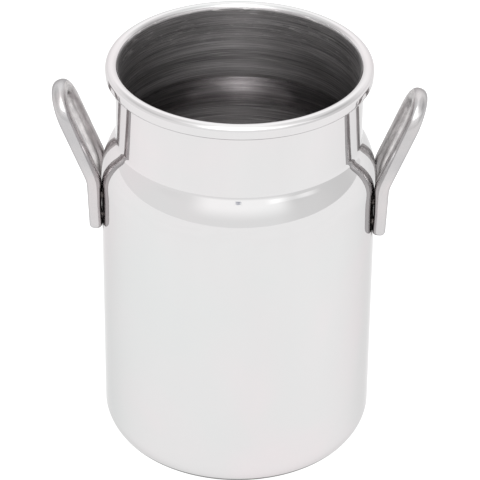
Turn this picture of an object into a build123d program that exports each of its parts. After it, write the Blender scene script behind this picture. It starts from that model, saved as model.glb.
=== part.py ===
"""Stainless steel table milk can: a deep-drawn open can with a stepped shoulder, a straight neck and a rim
curled outward over itself, and two fixed loop handles of 4 mm bar, each resistance-welded to the side by
both of its legs.

Frame: millimetres, +Z up, origin at the centre of the base on the surface that the can stands on.
The two handles lie on the X axis, one each side.

The pieces, one STEP file each:
  can_body             the one-piece drawn shell with its base, shoulder, neck and curled rim
  right_handle         the loop on the +X side
  left_handle          the loop on the -X side
  right_handle_welds   four weld nuggets, two behind each leg of the right handle
  left_handle_welds    four weld nuggets, two behind each leg of the left handle
"""

import os
from math import acos, atan2, cos, degrees, hypot, pi, radians, sin, sqrt, tan

from build123d import *

# ---------------------------------------------------------------- driving dimensions, mm and degrees
BODY_R = 35.0  # outside radius of the straight body
HEIGHT = 108.0  # base to the top of the curled rim
SHEET = 0.8  # sheet thickness

BASE_CORNER_R = 8.3  # outside radius between base and body
BASE_PANEL_R = 20.0  # radius of the raised centre panel of the base
BASE_PANEL_RISE = 0.8  # how far the centre panel stands up off the table
BASE_PANEL_RUN = 3.0  # width of the slope round the panel
BASE_PANEL_FILLET = 3.0

SHOULDER_LOW_Z = 80.9  # where body and shoulder lines cross
SHOULDER_HIGH_Z = 87.0  # where shoulder and neck lines cross
SHOULDER_OUT_FILLET = 19.0  # outside radius of the rounded top of the body
SHOULDER_IN_FILLET = 3.0  # outside radius of the hollow at the foot of the neck

NECK_R = 31.1  # outside radius of the neck
CURL_R = 1.6  # outside radius of the curl's rolled top
CURL_DROP = 1.2  # length of the curl's straight outer side
CURL_LOW_R = 1.0  # outside radius where that side turns in under the curl
LIP_GAP = 0.1  # between the tucked-in lip and the neck

BAR_DEEP = 3.7  # handle bar, from its back to its outward face
BAR_WIDE = 3.9  # handle bar, across its outward face
BAR_EDGE_R = 1.4  # rounding of the bar's long edges
BAR_END_R = 0.9  # rounding of the bar's two ends
LEG_SPACING = 13.0  # between the two legs' centre lines
LEG_FOOT_Z = 62.6  # lowest point of the legs
LEG_OUT_X = 37.66  # outward face of a leg at its foot, from the can's axis
LEG_DEEP = 3.35  # the welded part of a leg is pressed flatter at its back, to this depth
LEG_SEAT_R = 35.02  # the back of each leg is coped to this radius where it meets the body
LEG_LEAN = 2.5  # how far the welded part of a leg leans outward
BEND_Z = 76.3  # where the welded part and the loop's lines cross
BEND_R = 10.0  # radius of that bend, on the centre line
LOOP_LEAN = 21.5  # how far the loop leans outward
LOOP_TOP_Z = 100.2  # top of the loop's outer edge, in the middle of the bar

WELD_R = 1.05  # radius of a weld nugget
WELD_ZS = (66.2, 72.0)  # heights of the two nuggets on a leg


# ---------------------------------------------------------------- the drawn shell
def corner(before, at, after, radius):
    """Tangent points and centre of an arc of this radius at the corner of two lines."""
    ax, ay = before[0] - at[0], before[1] - at[1]
    bx, by = after[0] - at[0], after[1] - at[1]
    la, lb = hypot(ax, ay), hypot(bx, by)
    ax, ay, bx, by = ax / la, ay / la, bx / lb, by / lb
    half = acos(max(-1.0, min(1.0, ax * bx + ay * by))) / 2
    reach = radius / tan(half)
    mx, my = ax + bx, ay + by
    lm = hypot(mx, my)
    to_centre = radius / sin(half)
    centre = (at[0] + mx / lm * to_centre, at[1] + my / lm * to_centre)
    start = (at[0] + ax * reach, at[1] + ay * reach)
    end = (at[0] + bx * reach, at[1] + by * reach)
    middle = (centre[0] - mx / lm * radius, centre[1] - my / lm * radius)
    return start, middle, end


def rounded_line(points, radii):
    """Edges in the XZ plane along a line of points, with an arc at each inner point."""
    edges, here = [], points[0]
    for i in range(1, len(points) - 1):
        start, middle, end = corner(points[i - 1], points[i], points[i + 1], radii[i - 1])
        edges.append(Line((here[0], 0, here[1]), (start[0], 0, start[1])))
        edges.append(ThreePointArc((start[0], 0, start[1]), (middle[0], 0, middle[1]), (end[0], 0, end[1])))
        here = end
    edges.append(Line((here[0], 0, here[1]), (points[-1][0], 0, points[-1][1])))
    return edges


def offset_line(points, by):
    """The line of points moved to its left by this distance, with mitred corners."""
    n = len(points)
    dirs = []
    for i in range(n - 1):
        dx, dy = points[i + 1][0] - points[i][0], points[i + 1][1] - points[i][1]
        l = hypot(dx, dy)
        dirs.append((dx / l, dy / l))
    moved = []
    for i in range(n):
        a = dirs[max(0, i - 1)]
        b = dirs[min(n - 2, i)]
        na, nb = (-a[1], a[0]), (-b[1], b[0])
        mx, my = na[0] + nb[0], na[1] + nb[1]
        scale = by * 2 / (mx * mx + my * my)
        moved.append((points[i][0] + mx * scale, points[i][1] + my * scale))
    return moved


CURL_Z = HEIGHT - CURL_R
outer_points = [
    (0.0, BASE_PANEL_RISE),
    (BASE_PANEL_R, BASE_PANEL_RISE),
    (BASE_PANEL_R + BASE_PANEL_RUN, 0.0),
    (BODY_R, 0.0),
    (BODY_R, SHOULDER_LOW_Z),
    (NECK_R, SHOULDER_HIGH_Z),
    (NECK_R, CURL_Z),
]
outer_radii = [BASE_PANEL_FILLET, BASE_PANEL_FILLET, BASE_CORNER_R, SHOULDER_OUT_FILLET, SHOULDER_IN_FILLET]
# +1 where the inside arc is larger than the outside one, -1 where it is smaller
inner_sense = [-1, 1, -1, -1, 1]
inner_points = offset_line(outer_points, SHEET)
inner_points[0] = (0.0, inner_points[0][1])
inner_radii = [r + s * SHEET for r, s in zip(outer_radii, inner_sense)]

curl_centre = (NECK_R - SHEET + CURL_R, CURL_Z)


def curl_side(inset):
    """One face of the curled sheet in from its outside by this much: over the top, down and under to the lip."""
    cx, cz = curl_centre
    r, low = CURL_R - inset, CURL_LOW_R - inset
    side, under = cx + r, cz - CURL_DROP - low
    turn_x, turn_z = side - low, cz - CURL_DROP
    slant = low * sqrt(0.5)
    return [
        ThreePointArc((cx - r, 0, cz), (cx, 0, cz + r), (side, 0, cz)),
        Line((side, 0, cz), (side, 0, turn_z)),
        ThreePointArc((side, 0, turn_z), (turn_x + slant, 0, turn_z - slant), (turn_x, 0, under)),
        Line((turn_x, 0, under), (NECK_R + LIP_GAP, 0, under)),
    ]


def lip_end(inset):
    return (NECK_R + LIP_GAP, 0, CURL_Z - CURL_DROP - CURL_LOW_R + inset)


profile = (
    rounded_line(outer_points, outer_radii)
    # the hollow side of the curl from the neck's outside face round to its lip, and the outside back again
    + curl_side(SHEET)
    + [Line(lip_end(SHEET), lip_end(0.0))]
    + curl_side(0.0)
    + rounded_line(inner_points, inner_radii)
    + [Line((0, 0, outer_points[0][1]), (0, 0, inner_points[0][1]))]
)
can_body = revolve(make_face(Wire(profile)), Axis.Z, 360)


# ---------------------------------------------------------------- the handles
half_deep, half_wide, half_gap = BAR_DEEP / 2, BAR_WIDE / 2, LEG_SPACING / 2
lean, loop_lean = radians(LEG_LEAN), radians(LOOP_LEAN)

foot = (LEG_OUT_X - half_deep, LEG_FOOT_Z)
bend = (foot[0] + (BEND_Z - LEG_FOOT_Z) * tan(lean), BEND_Z)
top_z = LOOP_TOP_Z - half_wide * cos(loop_lean)
top = (bend[0] + (top_z - BEND_Z) * tan(loop_lean), top_z)
# the loop's half circle starts this far down the slope from its top
arc_start = (top[0] - half_gap * sin(loop_lean), top[1] - half_gap * cos(loop_lean))
bend_start, bend_middle, bend_end = corner(foot, bend, arc_start, BEND_R)


def at(p, y):
    return (p[0], y, p[1])


handle_path = Wire(
    [
        Line(at(foot, -half_gap), at(bend_start, -half_gap)),
        ThreePointArc(at(bend_start, -half_gap), at(bend_middle, -half_gap), at(bend_end, -half_gap)),
        Line(at(bend_end, -half_gap), at(arc_start, -half_gap)),
        ThreePointArc(at(arc_start, -half_gap), at(top, 0), at(arc_start, half_gap)),
        Line(at(arc_start, half_gap), at(bend_end, half_gap)),
        ThreePointArc(at(bend_end, half_gap), at(bend_middle, half_gap), at(bend_start, half_gap)),
        Line(at(bend_start, half_gap), at(foot, half_gap)),
    ]
)
section_plane = Plane(
    origin=at(foot, -half_gap), x_dir=(0, 1, 0), z_dir=(sin(lean), 0, cos(lean))
)
section = section_plane * RectangleRounded(BAR_WIDE, BAR_DEEP, BAR_EDGE_R)
bar = sweep(section, path=handle_path)
bar = bar.solids()[0]
end_edges = [e for e in bar.edges() if e.center().Z < LEG_FOOT_Z + 0.2 and e.bounding_box().size.Z < 0.5]
right_handle = fillet(end_edges, BAR_END_R)
# the back of each leg is flat where it is welded; the flat runs out where the bar bends away from the body
flat = (
    Pos(LEG_OUT_X, 0, LEG_FOOT_Z)
    * Rot(0, LEG_LEAN, 0)
    * Pos(-LEG_DEEP, 0, 5)
    * Box(10, 30, 40, align=(Align.MAX, Align.CENTER, Align.CENTER))
)
right_handle = (right_handle - flat).solids()[0]
# the inner edge of the flat is coped to the round body, so that the leg seats along it
seat = Pos(0, 0, LEG_FOOT_Z - 2) * Cylinder(LEG_SEAT_R, 18, align=(Align.CENTER, Align.CENTER, Align.MIN))
right_handle = (right_handle - seat).solids()[0]
left_handle = right_handle.rotate(Axis.Z, 180)


# ---------------------------------------------------------------- the welds
def nuggets(handle, side):
    """Two nuggets behind each leg: the metal between the bar and the body where the two were fused."""
    made = []
    for y in (-half_gap, half_gap):
        for z in WELD_ZS:
            rod = Pos(side * (BODY_R - 2.5), y, z) * Rot(0, side * 90, 0) * Cylinder(
                WELD_R, 4.5, align=(Align.CENTER, Align.CENTER, Align.MIN)
            )
            left = rod - can_body - handle
            between = [
                s
                for s in left.solids()
                if BODY_R - 1.6 < abs(s.center().X) < BODY_R + 1.6
                and s.bounding_box().size.X < 2.2
                and hypot(s.center().X, s.center().Y) > BODY_R - 0.2
            ]
            made.append(min(between, key=lambda s: abs(abs(s.center().X) - BODY_R)))
    return Compound(children=made)


right_handle_welds = nuggets(right_handle, 1)
left_handle_welds = nuggets(left_handle, -1)

# ---------------------------------------------------------------- write
nodes = {
    "can_body": can_body,
    "right_handle": right_handle,
    "left_handle": left_handle,
    "right_handle_welds": right_handle_welds,
    "left_handle_welds": left_handle_welds,
}
os.makedirs("parts", exist_ok=True)
for name, shape in nodes.items():
    export_step(shape, f"parts/{name}.step")
    print(name, len(shape.solids()), round(sum(s.volume for s in shape.solids()), 2), shape.bounding_box())
print("bar section x length", round(section.area * handle_path.length, 1))
print("foot", foot, "bend", bend, "arc_start", arc_start, "top", top)
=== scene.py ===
"""Stainless-steel table milk can: the visual model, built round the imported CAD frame.

Metres, +Z up, the can's axis on Z, the two handles on +X and -X, the front on -Y.
The sizes below repeat the CAD's own, in millimetres and degrees.
"""

from math import acos, atan2, cos, hypot, pi, radians, sin, sqrt, tan

import bpy
import numpy as np
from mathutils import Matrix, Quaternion, Vector


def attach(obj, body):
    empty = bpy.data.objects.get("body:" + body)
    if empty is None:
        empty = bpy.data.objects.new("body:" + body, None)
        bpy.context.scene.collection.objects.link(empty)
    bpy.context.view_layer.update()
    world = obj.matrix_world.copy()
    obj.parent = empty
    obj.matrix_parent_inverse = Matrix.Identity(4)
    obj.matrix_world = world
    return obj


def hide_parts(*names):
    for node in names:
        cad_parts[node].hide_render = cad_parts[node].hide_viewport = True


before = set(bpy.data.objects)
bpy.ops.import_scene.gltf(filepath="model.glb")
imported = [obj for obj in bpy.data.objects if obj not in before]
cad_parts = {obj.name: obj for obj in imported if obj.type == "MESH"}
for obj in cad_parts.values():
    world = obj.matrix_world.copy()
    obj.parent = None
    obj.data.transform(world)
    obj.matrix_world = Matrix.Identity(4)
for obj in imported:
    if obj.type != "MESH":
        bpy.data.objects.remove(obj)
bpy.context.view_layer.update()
MM = 0.001

# ---------------------------------------------------------------- sizes, as in the CAD
BODY_R, HEIGHT, SHEET = 35.0, 108.0, 0.8
BASE_CORNER_R, BASE_PANEL_R, BASE_PANEL_RISE, BASE_PANEL_RUN, BASE_PANEL_FILLET = 8.3, 20.0, 0.8, 3.0, 3.0
SHOULDER_LOW_Z, SHOULDER_HIGH_Z = 80.9, 87.0
SHOULDER_OUT_FILLET, SHOULDER_IN_FILLET = 19.0, 3.0
NECK_R, CURL_R, CURL_DROP, CURL_LOW_R, LIP_GAP = 31.1, 1.6, 1.2, 1.0, 0.1
BAR_DEEP, BAR_WIDE, LEG_DEEP = 3.7, 3.9, 3.35
LEG_SPACING, LEG_FOOT_Z, LEG_OUT_X, LEG_SEAT_R, LEG_LEAN = 13.0, 62.6, 37.66, 35.02, 2.5
BEND_Z, BEND_R, LOOP_LEAN, LOOP_TOP_Z = 76.3, 10.0, 21.5, 100.2
WELD_R, WELD_ZS = 1.05, (66.2, 72.0)


# ---------------------------------------------------------------- the camera
target = Vector((0, 0, 54.25 * MM))
azimuth, elevation, distance = radians(1.8), radians(32.37), 0.7116
back = Vector((sin(azimuth) * cos(elevation), -cos(azimuth) * cos(elevation), sin(elevation)))
camera = bpy.data.objects.new("camera", bpy.data.cameras.new("camera"))
bpy.context.scene.collection.objects.link(camera)
camera.location = target + back * distance
camera.rotation_mode = "QUATERNION"
camera.rotation_quaternion = (-back).to_track_quat("-Z", "Y") @ Quaternion((0, 0, 1), 0.0099)
camera.data.sensor_width = 36.0
camera.data.lens = 2749.8 / 480 * 36.0
camera.data.shift_x = 2.09 / 480
camera.data.shift_y = 3.47 / 480
camera.data.clip_start, camera.data.clip_end = 0.01, 100
bpy.context.scene.camera = camera


# ---------------------------------------------------------------- small helpers
def smooth_noise(seed, waves, lowest, highest):
    """A fixed sum of sine waves over (angle, along): smooth, repeatable and the same all the way round."""
    rng = np.random.default_rng(seed)
    parts = [
        (int(rng.integers(lowest, highest + 1)), rng.uniform(-1, 1), rng.uniform(0, 2 * pi), rng.uniform(0.4, 1.0))
        for _ in range(waves)
    ]
    total = sum(p[3] for p in parts)

    def at(angle, along):
        return sum(w * np.sin(k * angle + f * along + ph) for k, f, ph, w in parts) / total

    return at


def make_mesh(name, verts, faces, materials, indices, attributes=()):
    """A smooth-shaded piece from points in metres, with one material index for each face."""
    mesh = bpy.data.meshes.new(name)
    mesh.from_pydata([tuple(v) for v in verts], [], [tuple(f) for f in faces])
    for m in materials:
        mesh.materials.append(m)
    mesh.polygons.foreach_set("material_index", np.array(indices, np.int32))
    mesh.polygons.foreach_set("use_smooth", np.ones(len(faces), bool))
    for key, values in attributes:
        a = mesh.attributes.new(key, "FLOAT", "POINT")
        a.data.foreach_set("value", np.array(values, np.float32))
    mesh.update()
    ob = bpy.data.objects.new(name, mesh)
    bpy.context.scene.collection.objects.link(ob)
    return ob


# ---------------------------------------------------------------- material nodes
class Nodes:
    """Short hand for building a node tree."""

    def __init__(self, name):
        self.mat = bpy.data.materials.new(name)
        self.mat.use_nodes = True
        self.nt = self.mat.node_tree
        self.nt.nodes.clear()
        self.out = self.add("ShaderNodeOutputMaterial")
        self.x = 0

    def add(self, kind, **settings):
        n = self.nt.nodes.new(kind)
        for k, v in settings.items():
            setattr(n, k, v)
        return n

    def link(self, a, b):
        self.nt.links.new(a, b)

    def put(self, socket, value):
        if isinstance(value, bpy.types.NodeSocket):
            self.link(value, socket)
        else:
            socket.default_value = value

    def math(self, op, a, b=0.0, c=None, clamp=False):
        n = self.add("ShaderNodeMath", operation=op, use_clamp=clamp)
        self.put(n.inputs[0], a)
        self.put(n.inputs[1], b)
        if c is not None:
            self.put(n.inputs[2], c)
        return n.outputs[0]

    def remap(self, value, lo, hi, to_lo, to_hi, smooth=False):
        n = self.add("ShaderNodeMapRange", interpolation_type="SMOOTHSTEP" if smooth else "LINEAR", clamp=True)
        self.put(n.inputs["Value"], value)
        for key, v in (("From Min", lo), ("From Max", hi), ("To Min", to_lo), ("To Max", to_hi)):
            n.inputs[key].default_value = v
        return n.outputs["Result"]

    def noise(self, vector, scale, detail=3.0, rough=0.5, distortion=0.0):
        n = self.add("ShaderNodeTexNoise")
        self.put(n.inputs["Vector"], vector)
        n.inputs["Scale"].default_value = scale
        n.inputs["Detail"].default_value = detail
        n.inputs["Roughness"].default_value = rough
        n.inputs["Distortion"].default_value = distortion
        return n.outputs["Fac"]

    def ramp(self, value, stops):
        n = self.add("ShaderNodeValToRGB")
        self.put(n.inputs["Fac"], value)
        e = n.color_ramp.elements
        while len(e) < len(stops):
            e.new(0.5)
        for el, (p, c) in zip(e, stops):
            el.position = p
            el.color = (*c, 1.0) if len(c) == 3 else c
        return n.outputs["Color"]

    def mix(self, fac, a, b, blend="MIX"):
        n = self.add("ShaderNodeMix", data_type="RGBA", blend_type=blend)
        self.put(n.inputs[0], fac)
        for s, v in ((n.inputs[6], a), (n.inputs[7], b)):
            self.put(s, v if isinstance(v, bpy.types.NodeSocket) else (*v, 1.0))
        return n.outputs[2]

    def vector(self, x, y, z):
        n = self.add("ShaderNodeCombineXYZ")
        for s, v in zip(n.inputs, (x, y, z)):
            self.put(s, v)
        return n.outputs[0]

    def split(self, v):
        n = self.add("ShaderNodeSeparateXYZ")
        self.link(v, n.inputs[0])
        return n.outputs

    def place(self):
        return self.add("ShaderNodeTexCoord").outputs["Object"]

    def attribute(self, key):
        return self.add("ShaderNodeAttribute", attribute_name=key).outputs["Fac"]

    def bump(self, height, distance, strength=1.0, normal=None):
        n = self.add("ShaderNodeBump")
        n.inputs["Strength"].default_value = strength
        n.inputs["Distance"].default_value = distance
        self.link(height, n.inputs["Height"])
        if normal is not None:
            self.link(normal, n.inputs["Normal"])
        return n.outputs["Normal"]

    def steel(self, colour, roughness, normal=None, edge=(1, 1, 1), anisotropic=0.0, tangent=None, metallic=1.0, turned=0.0):
        b = self.add("ShaderNodeBsdfPrincipled")
        b.inputs["Anisotropic Rotation"].default_value = turned
        b.inputs["Metallic"].default_value = metallic
        b.inputs["Specular Tint"].default_value = (*edge, 1.0)
        b.inputs["Anisotropic"].default_value = anisotropic
        self.put(b.inputs["Base Color"], colour)
        self.put(b.inputs["Roughness"], roughness)
        if normal is not None:
            self.link(normal, b.inputs["Normal"])
        if tangent is not None:
            self.link(tangent, b.inputs["Tangent"])
        self.link(b.outputs[0], self.out.inputs["Surface"])
        return b


def polished_can():
    """Mirror polish put on by turning the can against a mop: very fine rings, soft haze and faint colour."""
    m = Nodes("polished_steel_can")
    p = m.place()
    x, y, z = m.split(p)
    rings = m.noise(m.vector(m.math("MULTIPLY", x, 40.0), m.math("MULTIPLY", y, 40.0), m.math("MULTIPLY", z, 2600.0)), 1.0, 4.0, 0.6)
    haze = m.noise(p, 46.0, 4.0, 0.55)
    tone = m.noise(p, 21.0, 3.0, 0.5, 0.4)
    wear = m.noise(p, 900.0, 2.0, 0.6)
    colour = m.ramp(tone, [(0.34, (0.604, 0.610, 0.609)), (0.5, (0.616, 0.608, 0.610)), (0.66, (0.640, 0.606, 0.614))])
    rough = m.math("ADD", m.remap(haze, 0.35, 0.7, 0.02, 0.055, True), m.remap(wear, 0.55, 0.8, 0.0, 0.03))
    rough = m.math("ADD", rough, m.remap(rings, 0.6, 0.8, 0.0, 0.03))
    normal = m.bump(rings, 0.0000006)
    normal = m.bump(m.noise(p, 160.0, 2.0, 0.5), 0.0000012, normal=normal)
    # painted shade: the narrow crevice behind each leg, where the legs shade the body, is darkened in colour and made
    # rougher
    side = m.math("SUBTRACT", m.math("ABSOLUTE", y), 0.0063)
    crevice_shade = m.remap(m.math("ABSOLUTE", side), 0.0015, 0.0021, 1.0, 0.0, True)
    crevice_shade = m.math("MULTIPLY", crevice_shade, m.remap(m.math("ABSOLUTE", x), 0.030, 0.033, 0.0, 1.0))
    crevice_shade = m.math("MULTIPLY", crevice_shade, m.remap(m.math("ABSOLUTE", m.math("SUBTRACT", z, 0.0685)), 0.0052, 0.0070, 1.0, 0.0, True))
    colour = m.mix(m.math("MULTIPLY", crevice_shade, 0.92), colour, (0.11, 0.098, 0.092))
    rough = m.math("ADD", rough, m.math("MULTIPLY", crevice_shade, 0.35))
    m.steel(colour, rough, normal, edge=(0.75, 0.75, 0.75))
    return m.mat


def satin_underside():
    """The underside, left as it was drawn: a dull satin skin with concentric marks and scuffs on the foot."""
    m = Nodes("satin_steel_underside")
    p = m.place()
    x, y, z = m.split(p)
    r = m.math("SQRT", m.math("ADD", m.math("MULTIPLY", x, x), m.math("MULTIPLY", y, y)))
    rings = m.noise(m.vector(m.math("MULTIPLY", x, 20.0), m.math("MULTIPLY", y, 20.0), m.math("MULTIPLY", r, 2400.0)), 1.0, 5.0, 0.65)
    scuff = m.noise(p, 300.0, 5.0, 0.7, 1.5)
    blotch = m.noise(p, 60.0, 4.0, 0.6)
    colour = m.mix(m.remap(blotch, 0.35, 0.7, 0.0, 1.0, True), (0.47, 0.47, 0.475), (0.56, 0.555, 0.55))
    colour = m.mix(m.remap(scuff, 0.56, 0.72, 0.0, 0.5), colour, (0.36, 0.36, 0.365))
    rough = m.math("ADD", m.remap(rings, 0.3, 0.7, 0.16, 0.3), m.remap(scuff, 0.55, 0.75, 0.0, 0.18))
    normal = m.bump(rings, 0.000002)
    normal = m.bump(scuff, 0.000004, normal=normal)
    m.steel(colour, rough, normal, edge=(0.7, 0.7, 0.7), anisotropic=0.4, tangent=m.add("ShaderNodeTangent", direction_type="RADIAL", axis="Z").outputs[0])
    return m.mat


def brushed_inside():
    """The unpolished inside, brushed by turning: uneven rings of light and dark with loose scratches."""
    m = Nodes("brushed_steel_inside")
    p = m.place()
    x, y, z = m.split(p)
    along = m.attribute("along")

    def rings(k, fine, detail, rough, shift=0.0):
        v = m.vector(m.math("MULTIPLY_ADD", x, k, shift), m.math("MULTIPLY_ADD", y, k, shift), m.math("MULTIPLY", along, fine))
        return m.noise(v, 1.0, detail, rough)

    fine = rings(34.0, 4.6, 5.0, 0.78)
    bands = rings(16.0, 0.55, 3.0, 0.6, 7.0)
    scratch = rings(70.0, 5.2, 2.0, 0.55, 3.0)
    patch = m.noise(p, 55.0, 3.0, 0.6)
    light = m.math("ADD", m.math("MULTIPLY", fine, 0.68), m.math("MULTIPLY", bands, 0.32))
    colour = m.ramp(light, [(0.38, (0.185, 0.178, 0.180)), (0.5, (0.405, 0.391, 0.395)), (0.62, (0.72, 0.700, 0.705))])
    # loose scratches, most of them just below the rim
    loose = m.noise(m.vector(m.math("MULTIPLY", x, 120.0), m.math("MULTIPLY", y, 120.0), m.math("MULTIPLY", along, 1.5)), 1.0, 3.0, 0.7, 1.4)
    near_rim = m.remap(z, 0.094, 0.104, 0.0, 1.0, True)
    loose = m.math("MULTIPLY", m.remap(loose, 0.56, 0.66, 0.0, 1.0, True), near_rim)
    colour = m.mix(m.math("MAXIMUM", m.remap(scratch, 0.60, 0.74, 0.0, 0.7), m.math("MULTIPLY", loose, 0.7)), colour, (0.95, 0.93, 0.92))
    rough = m.math("ADD", m.remap(fine, 0.3, 0.7, 0.38, 0.29), m.remap(patch, 0.35, 0.7, 0.0, 0.05))
    # the floor and the hollow of the shoulder, which the brush rides over, are smoother
    floor_part = m.remap(z, 0.0015, 0.012, 1.0, 0.0, True)
    smooth = m.math("MAXIMUM", floor_part, m.math("MULTIPLY", m.remap(z, 0.0755, 0.0785, 0.0, 1.0, True), m.remap(z, 0.0855, 0.0885, 1.0, 0.0, True)))
    rough = m.math("SUBTRACT", rough, m.math("MULTIPLY", smooth, 0.13))
    # painted light: the floor inside is brightened in colour to stand for the light it gets through the mouth, and the
    # hollow of the shoulder is made a little darker
    painted_light_gain = m.math("MULTIPLY_ADD", floor_part, 0.65, m.math("MULTIPLY_ADD", smooth, -0.08, 1.0))
    colour = m.mix(1.0, colour, m.vector(painted_light_gain, painted_light_gain, painted_light_gain), "MULTIPLY")
    normal = m.bump(m.math("ADD", fine, m.math("MULTIPLY", bands, 1.5)), 0.000010)
    normal = m.bump(scratch, 0.000005, normal=normal)
    # the coarse brushing scatters part of the light widely, like a matt skin
    m.steel(colour, rough, normal, edge=(0.8, 0.8, 0.8), anisotropic=0.75, tangent=m.add("ShaderNodeTangent", direction_type="RADIAL", axis="Z").outputs[0], metallic=1.0, turned=0.25)
    return m.mat


def polished_bar():
    """The handles' hand polish: bright, a little uneven, with fine lines along the bar."""
    m = Nodes("polished_steel_bar")
    p = m.place()
    along, across = m.attribute("along"), m.attribute("across")
    lines = m.noise(m.vector(m.math("MULTIPLY", along, 0.12), m.math("MULTIPLY", across, 5.0), 0.0), 1.0, 4.0, 0.6)
    haze = m.noise(p, 210.0, 4.0, 0.6)
    tone = m.noise(p, 95.0, 2.0, 0.5, 0.5)
    pits = m.noise(p, 1900.0, 2.0, 0.6)
    colour = m.ramp(tone, [(0.36, (0.486, 0.477, 0.484)), (0.5, (0.515, 0.504, 0.507)), (0.64, (0.546, 0.520, 0.522))])
    # the loops are a little darker in colour than the legs
    z = m.split(p)[2]
    colour = m.mix(m.remap(z, 0.077, 0.086, 0.0, 1.0, True), colour, m.mix(1.0, colour, (0.915, 0.915, 0.915), "MULTIPLY"))
    rough = m.math("ADD", m.remap(haze, 0.35, 0.7, 0.15, 0.23, True), m.remap(lines, 0.5, 0.8, 0.0, 0.08))
    rough = m.math("ADD", rough, m.remap(pits, 0.62, 0.8, 0.0, 0.1))
    normal = m.bump(lines, 0.0000025)
    normal = m.bump(haze, 0.000012, normal=normal)
    m.steel(colour, rough, normal, edge=(0.50, 0.49, 0.495))
    return m.mat


def raw_bar():
    """The sides that the mop doesn't reach: drawn-bar streaks, darker and dull."""
    m = Nodes("raw_steel_bar")
    p = m.place()
    along, across = m.attribute("along"), m.attribute("across")
    streak = m.noise(m.vector(m.math("MULTIPLY", along, 0.35), m.math("MULTIPLY", across, 3.2), 1.7), 1.0, 4.0, 0.65)
    blot = m.noise(p, 330.0, 4.0, 0.65, 0.6)
    both = m.math("ADD", m.math("MULTIPLY", streak, 0.6), m.math("MULTIPLY", blot, 0.4))
    colour = m.ramp(both, [(0.36, (0.40, 0.385, 0.385)), (0.5, (0.52, 0.50, 0.50)), (0.66, (0.66, 0.635, 0.63))])
    # painted shade: the backs of the welded legs are darkened in colour from their feet up to the bend, where they face
    # the body across the narrow gap
    x, y, z = m.split(p)
    low = m.remap(z, 0.0710, 0.0765, 0.85, 0.0, True)
    colour = m.mix(low, colour, (0.13, 0.118, 0.112))
    rough = m.remap(both, 0.35, 0.65, 0.42, 0.26)
    normal = m.bump(streak, 0.000008)
    normal = m.bump(blot, 0.000012, normal=normal)
    m.steel(colour, rough, normal, edge=(0.7, 0.7, 0.7))
    return m.mat


def weld_metal():
    """Fused metal: rough, stained in blotches from brown to blue."""
    m = Nodes("weld_steel")
    p = m.place()
    blot = m.noise(p, 1500.0, 4.0, 0.65, 1.0)
    grain = m.noise(p, 6500.0, 3.0, 0.6)
    colour = m.ramp(blot, [(0.34, (0.06, 0.055, 0.065)), (0.45, (0.11, 0.095, 0.09)), (0.56, (0.16, 0.145, 0.135)), (0.7, (0.10, 0.095, 0.11))])
    rough = m.remap(grain, 0.3, 0.7, 0.28, 0.55)
    normal = m.bump(blot, 0.00006)
    normal = m.bump(grain, 0.00002, normal=normal)
    m.steel(colour, rough, normal, edge=(0.7, 0.7, 0.7))
    return m.mat


# ---------------------------------------------------------------- the drawn shell
def corner(before, at, after, radius):
    """Tangent points, centre of an arc of this radius at the corner of two lines."""
    a = np.subtract(before, at)
    b = np.subtract(after, at)
    a, b = a / np.linalg.norm(a), b / np.linalg.norm(b)
    half = acos(max(-1.0, min(1.0, float(a @ b)))) / 2
    m = (a + b) / np.linalg.norm(a + b)
    return at + a * radius / tan(half), at + m * radius / sin(half), at + b * radius / tan(half)


def rounded_line(points, radii, line_step, arc_step):
    """Points along the line, dense on its arcs: at most arc_step radians between two."""
    pts = [np.array(points[0], float)]

    def straight(to):
        n = max(1, int(np.ceil(np.linalg.norm(to - pts[-1]) / line_step)))
        here = pts[-1].copy()
        for k in range(1, n + 1):
            pts.append(here + (to - here) * k / n)

    for i in range(1, len(points) - 1):
        start, centre, end = corner(points[i - 1], np.array(points[i], float), points[i + 1], radii[i - 1])
        straight(start)
        a0, a1 = atan2(*(start - centre)[::-1]), atan2(*(end - centre)[::-1])
        turn = (a1 - a0 + pi) % (2 * pi) - pi
        n = max(4, int(np.ceil(abs(turn) / arc_step)))
        for k in range(1, n + 1):
            a = a0 + turn * k / n
            pts.append(centre + radii[i - 1] * np.array([cos(a), sin(a)]))
    straight(np.array(points[-1], float))
    return pts


def offset_line(points, by):
    """The line of points moved to its left by this distance, with mitred corners."""
    p = np.array(points, float)
    d = np.diff(p, axis=0)
    d /= np.linalg.norm(d, axis=1)[:, None]
    n = np.stack([-d[:, 1], d[:, 0]], 1)
    m = np.vstack([n[:1] * 2, n[:-1] + n[1:], n[-1:] * 2])
    return p + m * (by * 2 / (m * m).sum(1))[:, None]


curl_z = HEIGHT - CURL_R - 0.006
outer_points = [
    (0.0, BASE_PANEL_RISE),
    (BASE_PANEL_R, BASE_PANEL_RISE),
    (BASE_PANEL_R + BASE_PANEL_RUN, 0.0),
    (BODY_R, 0.0),
    (BODY_R, SHOULDER_LOW_Z),
    (NECK_R, SHOULDER_HIGH_Z),
    (NECK_R, curl_z),
]
outer_radii = [BASE_PANEL_FILLET, BASE_PANEL_FILLET, BASE_CORNER_R, SHOULDER_OUT_FILLET, SHOULDER_IN_FILLET]
inner_points = offset_line(outer_points, SHEET)
inner_points[0] = (0.0, inner_points[0][1])
inner_radii = [r + s * SHEET for r, s in zip(outer_radii, [-1, 1, -1, -1, 1])]
curl_centre = np.array([NECK_R - SHEET + CURL_R, curl_z])


def on_curl(radius, turned):
    """A point of the curl's rolled top, this many degrees round from where it leaves the neck."""
    a = radians(180.0 - turned)
    return curl_centre + radius * np.array([cos(a), sin(a)])


def under_curl(inset, turned):
    """A point of the corner where the curl turns in under itself, this many degrees round."""
    a = radians(-turned)
    low = CURL_LOW_R - inset
    return curl_centre + np.array([CURL_R - CURL_LOW_R + low * cos(a), -CURL_DROP + low * sin(a)])


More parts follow.
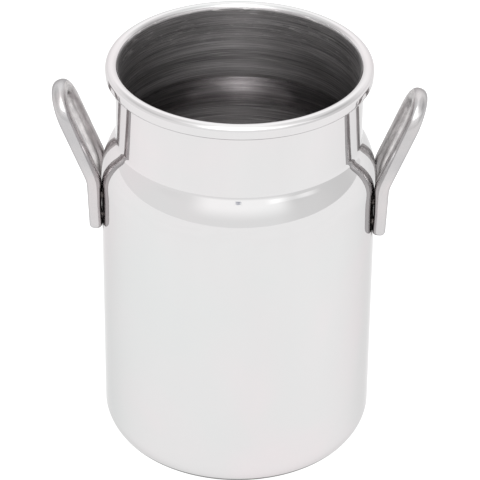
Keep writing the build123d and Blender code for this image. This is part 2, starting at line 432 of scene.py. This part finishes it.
def shell_profile():
    """(points, tags) of the sheet's section, from the axis under the base, up the outside, round the curl and down the inside."""
    pts, tags = [], []

    def more(new, tag):
        for q in new:
            if pts and np.linalg.norm(np.subtract(q, pts[-1])) < 1e-4:
                continue
            pts.append(np.array(q, float))
            tags.append(tag)

    more(rounded_line(outer_points, outer_radii, 2.4, radians(2.2)), "outside")
    more([on_curl(CURL_R - SHEET, t) for t in np.linspace(0, 180, 14)[1:]], "outside")
    more([under_curl(SHEET, t) for t in np.linspace(0, 90, 4)], "outside")
    # the lip's edges are broken round
    lip = np.array([NECK_R + LIP_GAP + SHEET / 2, curl_z - CURL_DROP - CURL_LOW_R + SHEET / 2])
    for a in np.linspace(90, 270, 9):
        more([lip + SHEET / 2 * np.array([cos(radians(a)), sin(radians(a))])], "outside")
    more([under_curl(0.0, t) for t in np.linspace(90, 0, 24)], "outside")
    more([on_curl(CURL_R, 180) - np.array([0.0, CURL_DROP * f]) for f in (0.66, 0.33)], "outside")
    # the brushing runs up over the inner part of the curl
    more([on_curl(CURL_R, t) for t in np.linspace(180, 42, 46)], "outside")
    more([on_curl(CURL_R, t) for t in np.linspace(42, 0, 14)], "inside")
    inner = rounded_line(inner_points, inner_radii, 2.4, radians(3.0))[::-1]
    more(inner, "inside")
    return pts, tags


def lathe_shell():
    pts, tags = shell_profile()
    n = 264
    rings = len(pts) - 2
    p = np.array(pts)
    along = np.concatenate([[0], np.cumsum(np.linalg.norm(np.diff(p, axis=0), axis=1))])
    ang = np.arange(n) * 2 * pi / n
    wave = smooth_noise(11, 22, 2, 9)
    verts = [(0, 0, p[0][1] * MM)]
    for i in range(1, len(p) - 1):
        r, z = p[i]
        # the drawn wall is a few hundredths out of round, never outside its nominal size
        out_of_round = 0.010 * (wave(ang, z * 0.11) - 1.0) * min(1.0, max(0.0, (r - 24.0) / 8.0))
        rr = (r + out_of_round) * MM
        verts.extend(zip(rr * np.cos(ang), rr * np.sin(ang), np.full(n, z * MM)))
    verts.append((0, 0, p[-1][1] * MM))
    last = len(verts) - 1
    faces, slots, att = [], [], [along[0]]
    for i in range(1, len(p) - 1):
        att.extend([along[i]] * n)
    att.append(along[-1])

    def kind(i):
        """The material of the faces between profile points i and i+1."""
        r, z = (p[i] + p[i + 1]) / 2
        if tags[i + 1] == "inside" and tags[i] == "inside":
            return 1
        if z < 1.2 and r < 30.0:
            return 2
        return 0

    for k in range(n):
        faces.append((0, 1 + (k + 1) % n, 1 + k))
        slots.append(kind(0))
    for i in range(rings - 1):
        a, b = 1 + i * n, 1 + (i + 1) * n
        s = kind(i + 1)
        for k in range(n):
            j = (k + 1) % n
            faces.append((a + k, a + j, b + j, b + k))
            slots.append(s)
    a = 1 + (rings - 1) * n
    for k in range(n):
        faces.append((a + k, a + (k + 1) % n, last))
        slots.append(kind(len(p) - 2))
    return make_mesh("can_shell", verts, faces, [polished_can(), brushed_inside(), satin_underside()], slots, [("along", att)])


# ---------------------------------------------------------------- the handles
half_deep, half_wide, half_gap = BAR_DEEP / 2, BAR_WIDE / 2, LEG_SPACING / 2
lean, loop_lean = radians(LEG_LEAN), radians(LOOP_LEAN)
foot = np.array([LEG_OUT_X - half_deep, LEG_FOOT_Z])
bend = np.array([foot[0] + (BEND_Z - LEG_FOOT_Z) * tan(lean), BEND_Z])
top_z = LOOP_TOP_Z - half_wide * cos(loop_lean)
top = np.array([bend[0] + (top_z - BEND_Z) * tan(loop_lean), top_z])
arc_start = top - half_gap * np.array([sin(loop_lean), cos(loop_lean)])


def handle_path(step):
    """(point, tangent, outward normal, how far along) down the middle of the bar, from one foot round to the other, for the +X handle."""
    start, centre, end = corner(foot, bend, arc_start, BEND_R)
    half = []

    def straight(a, b):
        length = np.linalg.norm(b - a)
        n = max(1, int(np.ceil(length / step)))
        t = (b - a) / length
        for k in range(n):
            q = a + (b - a) * k / n
            half.append(((q[0], -half_gap, q[1]), (t[0], 0, t[1]), (t[1], 0, -t[0])))

    straight(foot, start)
    a0, a1 = atan2(*(start - centre)[::-1]), atan2(*(end - centre)[::-1])
    n = 16
    for k in range(n):
        a = a0 + (a1 - a0) * k / n
        q = centre + BEND_R * np.array([cos(a), sin(a)])
        t = np.array([sin(a), -cos(a)]) if a1 < a0 else np.array([-sin(a), cos(a)])
        half.append(((q[0], -half_gap, q[1]), (t[0], 0, t[1]), (t[1], 0, -t[0])))
    straight(end, arc_start)
    up = np.array([sin(loop_lean), 0, cos(loop_lean)])
    out = np.array([cos(loop_lean), 0, -sin(loop_lean)])
    c = np.array([arc_start[0], 0, arc_start[1]])
    n = 30
    for k in range(n + 1):
        a = pi / 2 * k / n
        q = c + half_gap * (up * sin(a) - np.array([0, 1, 0]) * cos(a))
        t = up * cos(a) + np.array([0, 1, 0]) * sin(a)
        half.append((tuple(q), tuple(t), tuple(out)))
    whole = [tuple(np.array(v, float) for v in s) for s in half]
    for q, t, o in reversed(whole[:-1]):
        whole.append((q * [1, -1, 1], t * [-1, 1, -1], o))
    length = 0.0
    made = []
    for i, (q, t, o) in enumerate(whole):
        if i:
            length += np.linalg.norm(q - whole[i - 1][0])
        made.append((q, t, o, length))
    return made


def bar_section(wide, deep, power, count):
    """Points round the bar's section as (across, out), starting in the middle of its outward face: a softly squared oval."""
    pts = []
    for k in range(count):
        t = 2 * pi * k / count
        c, s_ = cos(t), sin(t)
        r = (abs(s_) ** power + abs(c) ** power) ** (-1.0 / power)
        pts.append((wide / 2 * r * s_, deep / 2 * r * c))
    return np.array(pts)


LOOP_WIDE, LOOP_DEEP, LOOP_POWER = BAR_WIDE + 0.1, BAR_DEEP + 0.15, 2.35
FOOT_WIDE, FOOT_DEEP, FOOT_POWER = 4.0, LEG_DEEP, 3.2


def make_handle(name, side, seed, materials):
    path = handle_path(0.7)
    total = path[-1][3]
    m = 48
    uneven = smooth_noise(seed, 10, 1, 3)
    stations = []
    end_r = 1.2
    angles = (0, 14, 28, 42, 56, 70, 82, 90)
    for q, t, o, s in path:
        if end_r < s < total - end_r:
            stations.append((q, t, o, s, 0.0))
    first, final = path[0], path[-1]
    insets = [(end_r * (1 - cos(radians(a))), end_r * (1 - sin(radians(a)))) for a in angles]
    head = [(first[0] + first[1] * d, first[1], first[2], d, inset) for d, inset in insets]
    tail = [(final[0] - final[1] * d, final[1], final[2], total - d, inset) for d, inset in reversed(insets)]
    stations = head + stations + tail
    verts, att_along, att_across = [], [], []
    for q, t, o, s, inset in stations:
        across = np.cross(t, o)
        # flattened where it is welded on, rounder in its loop
        f = float(np.clip((q[2] - (BEND_Z - 8.5)) / 9.0, 0.0, 1.0))
        f = f * f * (3 - 2 * f)
        wide = FOOT_WIDE + (LOOP_WIDE - FOOT_WIDE) * f
        deep = FOOT_DEEP + (LOOP_DEEP - FOOT_DEEP) * f
        sec = bar_section(wide, deep, FOOT_POWER + (LOOP_POWER - FOOT_POWER) * f, m)
        # the outward face keeps its place
        shift = half_deep - deep / 2
        wob = 1 + 0.012 * (uneven(np.linspace(0, 2 * pi, m, endpoint=False), s * 0.22) - 1.0)
        w = sec[:, 0] * (1 - 2 * inset / wide) * wob
        d = sec[:, 1] * (1 - 2 * inset / deep) * wob + shift
        pts = q[None, :] + across[None, :] * w[:, None] + o[None, :] * d[:, None]
        # the back of each leg is pressed against the round body
        rad = np.hypot(pts[:, 0], pts[:, 1])
        low = (pts[:, 2] < 81) & (rad < LEG_SEAT_R) & (pts[:, 0] > 0)
        pts[low, 0] = np.sqrt(np.maximum(LEG_SEAT_R**2 - pts[low, 1] ** 2, 0))
        verts.extend(pts * [side * MM, side * MM, MM])
        att_along.extend([s] * m)
        att_across.extend(np.linspace(0, 13.0, m))
    n = len(stations)
    faces, slots = [], []
    for i in range(n - 1):
        a, b = i * m, (i + 1) * m
        for k in range(m):
            j = (k + 1) % m
            faces.append((a + k, b + k, b + j, a + j))
            # the mop doesn't reach the bar's back nor the inside of the loop
            high = min(stations[i][0][2], stations[i + 1][0][2]) > BEND_Z + 1.0
            slots.append(1 if m * 0.15 < k + 0.5 < m * (0.585 if high else 0.525) else 0)
    for ring, flip in ((0, False), (n - 1, True)):
        centre = len(verts)
        verts.append(np.mean([verts[ring * m + k] for k in range(m)], axis=0))
        att_along.append(att_along[ring * m])
        att_across.append(0.0)
        for k in range(m):
            j = (k + 1) % m
            tri = (centre, ring * m + k, ring * m + j)
            faces.append(tri[::-1] if flip else tri)
            slots.append(0)
    return make_mesh(name, verts, faces, materials, slots, [("along", att_along), ("across", att_across)])


def face_outward(ob):
    """Turns all faces outward if the closed mesh is inside out."""
    mesh = ob.data
    co = np.zeros(len(mesh.vertices) * 3)
    mesh.vertices.foreach_get("co", co)
    co = co.reshape(-1, 3)
    mesh.calc_loop_triangles()
    t = np.zeros(len(mesh.loop_triangles) * 3, np.int32)
    mesh.loop_triangles.foreach_get("vertices", t)
    t = t.reshape(-1, 3)
    volume = np.einsum("ij,ij->i", co[t[:, 0]], np.cross(co[t[:, 1]], co[t[:, 2]])).sum() / 6
    if volume < 0:
        mesh.flip_normals()
        mesh.update()
    return abs(volume)


# ---------------------------------------------------------------- the welds
def make_welds(name, side, seed, material):
    """Four squashed, uneven beads of fused metal between the legs and the body."""
    verts, faces = [], []
    rng = np.random.default_rng(seed)
    for y0 in (-half_gap, half_gap):
        for z0 in WELD_ZS:
            r0 = WELD_R * rng.uniform(1.0, 1.12)
            phase = rng.uniform(0, 2 * pi, 5)
            n, rings = 40, 9
            base = len(verts)
            centre_a = atan2(y0, BODY_R)
            for i in range(rings):
                f = i / (rings - 1)
                # from just inside the sheet's face to just inside the bar's back
                depth = -0.12 + f * 0.62
                pinch = 1.0 - 0.16 * sin(pi * f)
                for k in range(n):
                    a = 2 * pi * k / n
                    ragged = 1 + 0.07 * sin(3 * a + phase[0]) + 0.05 * sin(5 * a + phase[1] + f) + 0.03 * sin(9 * a + phase[2])
                    rr = r0 * pinch * ragged
                    dy, dz = rr * cos(a), rr * sin(a)
                    ang = centre_a + dy / BODY_R
                    rad = BODY_R + depth
                    verts.append((side * rad * cos(ang) * MM, side * rad * sin(ang) * MM, (z0 + dz) * MM))
            for i in range(rings - 1):
                for k in range(n):
                    j = (k + 1) % n
                    a, b = base + i * n, base + (i + 1) * n
                    faces.append((a + k, a + j, b + j, b + k))
            faces.append(tuple(base + k for k in reversed(range(n))))
            faces.append(tuple(base + (rings - 1) * n + k for k in range(n)))
    return make_mesh(name, verts, faces, [material], [0] * len(faces))


shell = lathe_shell()
bar_materials = [polished_bar(), raw_bar()]
weld = weld_metal()
right_handle = make_handle("right_handle_bar", 1, 3, bar_materials)
left_handle = make_handle("left_handle_bar", -1, 5, bar_materials)
right_welds = make_welds("right_weld_beads", 1, 7, weld)
left_welds = make_welds("left_weld_beads", -1, 9, weld)
for piece, node, slot in (
    (shell, "can_body", "polished_steel"),
    (right_handle, "right_handle", "polished_steel"),
    (left_handle, "left_handle", "polished_steel"),
    (right_welds, "right_handle_welds", "brushed_steel"),
    (left_welds, "left_handle_welds", "brushed_steel"),
):
    face_outward(piece)
    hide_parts(node)
    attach(piece, "root")


# ---------------------------------------------------------------- the studio
def plane(name, centre, towards, width, height, oval=False):
    """A flat card at centre, facing the point towards."""
    mesh = bpy.data.meshes.new(name)
    if oval:
        turns = [2 * pi * k / 48 for k in range(48)]
        mesh.from_pydata([(width / 2 * cos(a), height / 2 * sin(a), 0) for a in turns], [], [tuple(range(48))])
    else:
        mesh.from_pydata([(-width / 2, -height / 2, 0), (width / 2, -height / 2, 0), (width / 2, height / 2, 0), (-width / 2, height / 2, 0)], [], [(0, 1, 2, 3)])
    ob = bpy.data.objects.new(name, mesh)
    bpy.context.scene.collection.objects.link(ob)
    ob.location = centre
    ob.rotation_mode = "QUATERNION"
    ob.rotation_quaternion = (Vector(towards) - Vector(centre)).to_track_quat("Z", "Y")
    return ob


def glow(name, colour, strength):
    m = Nodes(name)
    e = m.add("ShaderNodeEmission")
    e.inputs["Color"].default_value = (*colour, 1)
    e.inputs["Strength"].default_value = strength
    m.link(e.outputs[0], m.out.inputs["Surface"])
    return m.mat


def floor_material():
    """Lit white acrylic: it glows evenly, and takes a little of the can's shade."""
    m = Nodes("white_floor")
    e = m.add("ShaderNodeEmission")
    soft = m.noise(m.place(), 9.0, 2.0, 0.5)
    m.link(m.remap(soft, 0.3, 0.7, 1.08, 1.11), e.inputs["Strength"])
    e.inputs["Color"].default_value = (1, 1, 1, 1)
    d = m.add("ShaderNodeBsdfDiffuse")
    d.inputs["Color"].default_value = (0.13, 0.13, 0.13, 1)
    s = m.add("ShaderNodeAddShader")
    m.link(e.outputs[0], s.inputs[0])
    m.link(d.outputs[0], s.inputs[1])
    m.link(s.outputs[0], m.out.inputs["Surface"])
    return m.mat


floor = plane("floor", (0, 0, -0.0002), (0, 0, 1), 8.0, 8.0)
floor.data.materials.append(floor_material())

world = bpy.data.worlds.new("studio")
bpy.context.scene.world = world
world.use_nodes = True
sky = world.node_tree
geo = sky.nodes.new("ShaderNodeTexCoord")
axes = sky.nodes.new("ShaderNodeSeparateXYZ")
sky.links.new(geo.outputs["Generated"], axes.inputs[0])


def sky_math(op, a, b=0.0, c=None):
    n = sky.nodes.new("ShaderNodeMath")
    n.operation = op
    for s, v in zip(n.inputs, (a, b, c)):
        if isinstance(v, bpy.types.NodeSocket):
            sky.links.new(v, s)
        elif v is not None:
            s.default_value = v
    return n.outputs[0]


def sky_step(value, lo, hi, to_lo, to_hi):
    n = sky.nodes.new("ShaderNodeMapRange")
    n.interpolation_type = "SMOOTHSTEP"
    sky.links.new(value, n.inputs["Value"])
    for key, v in (("From Min", lo), ("From Max", hi), ("To Min", to_lo), ("To Max", to_hi)):
        n.inputs[key].default_value = v
    return n.outputs["Result"]


# the tent's walls are bright behind and overhead, and dimmer in front, where the camera stands
turn = sky_math("MULTIPLY", sky_math("ARCTAN2", axes.outputs[0], sky_math("MULTIPLY", axes.outputs[1], -1.0)), 57.29578)
rise = sky_math("MULTIPLY", sky_math("ARCSINE", axes.outputs[2]), 57.29578)
aside = sky_math("ABSOLUTE", turn)


def sky_times(*factors):
    total = factors[0]
    for f in factors[1:]:
        total = sky_math("MULTIPLY", total, f)
    return total


front = sky_times(sky_step(aside, 104.0, 140.0, 1.0, 0.0), sky_step(rise, 36.0, 56.0, 1.0, 0.0))
# the front wall: dimmer towards its right-hand end, lighter high up in its middle
wall = sky_math("SUBTRACT", sky_step(turn, 30.0, 56.0, 1.14, 1.02), sky_step(turn, 60.0, 100.0, 0.0, 0.08))
middle = sky_times(sky_step(turn, -46.0, -22.0, 0.0, 1.0), sky_step(turn, 36.0, 54.0, 1.0, 0.0))
wall = sky_math("ADD", wall, sky_times(middle, sky_step(rise, 6.0, 30.0, 0.0, 0.30)))
# a lamp behind the wall, to the right
lamp = sky_times(sky_step(turn, 24.0, 44.0, 0.0, 1.0), sky_step(turn, 60.0, 84.0, 1.0, 0.0))
lamp_low = sky_math("SUBTRACT", rise, sky_step(turn, 38.0, 84.0, 29.5, 20.5))
lamp = sky_times(lamp, sky_step(lamp_low, -1.0, 1.4, 0.0, 0.60))
wall = sky_math("ADD", wall, lamp)
strength = sky_math("ADD", sky_math("MULTIPLY", front, wall), sky_math("MULTIPLY", sky_math("SUBTRACT", 1.0, front), sky_step(rise, -4.0, 46.0, 1.20, 1.50)))
# high up, its side walls are a little dimmer, and a soft lamp above the camera lights the can's inside
sides = sky_times(sky_step(aside, 42.0, 78.0, 0.0, 1.0), sky_step(aside, 132.0, 160.0, 1.0, 0.0), sky_step(rise, 18.0, 40.0, 0.0, 1.0), sky_step(rise, 66.0, 86.0, 1.0, 0.0))
strength = sky_math("MULTIPLY", strength, sky_math("SUBTRACT", 1.0, sky_math("MULTIPLY", sides, 0.26)))
above = sky_times(sky_step(aside, 10.0, 44.0, 1.0, 0.0), sky_step(rise, 34.0, 40.0, 0.0, 1.0), sky_step(rise, 74.0, 88.0, 1.0, 0.0))
strength = sky_math("ADD", strength, sky_math("MULTIPLY", above, 3.2))
sky.links.new(strength, sky.nodes["Background"].inputs["Strength"])
sky.nodes["Background"].inputs["Color"].default_value = (1.0, 1.0, 1.0, 1)


def card(name, az, el, dist, width, height, colour, strength):
    a, e = radians(az), radians(el)
    at = Vector((sin(a) * cos(e), -cos(a) * cos(e), sin(e))) * dist + Vector((0, 0, 0.08))
    ob = plane(name, at, (0, 0, 0.08), width, height, oval=True)
    ob.data.materials.append(glow(name, colour, strength))
    ob.visible_camera = False
    return ob


shade = card("camera_shade", 1.8, 32.9, 0.78, 0.11, 0.038, (0.56, 0.58, 0.66), 1.0)

# the shade of the foot, where the floor runs in under its rounded corner
foot_shade = plane("foot_shade", (0, 0, -0.0001), (0, 0, 1), 0.0640, 0.0640, oval=True)
foot_shade.data.materials.append(glow("foot_shade", (1.0, 1.0, 1.0), 0.42))
foot_shade.visible_camera = False
foot_shade.visible_diffuse = False

settings = bpy.context.scene.view_settings
settings.view_transform = "Standard"
settings.look = "None"
settings.exposure = 0.0
settings.gamma = 1.0
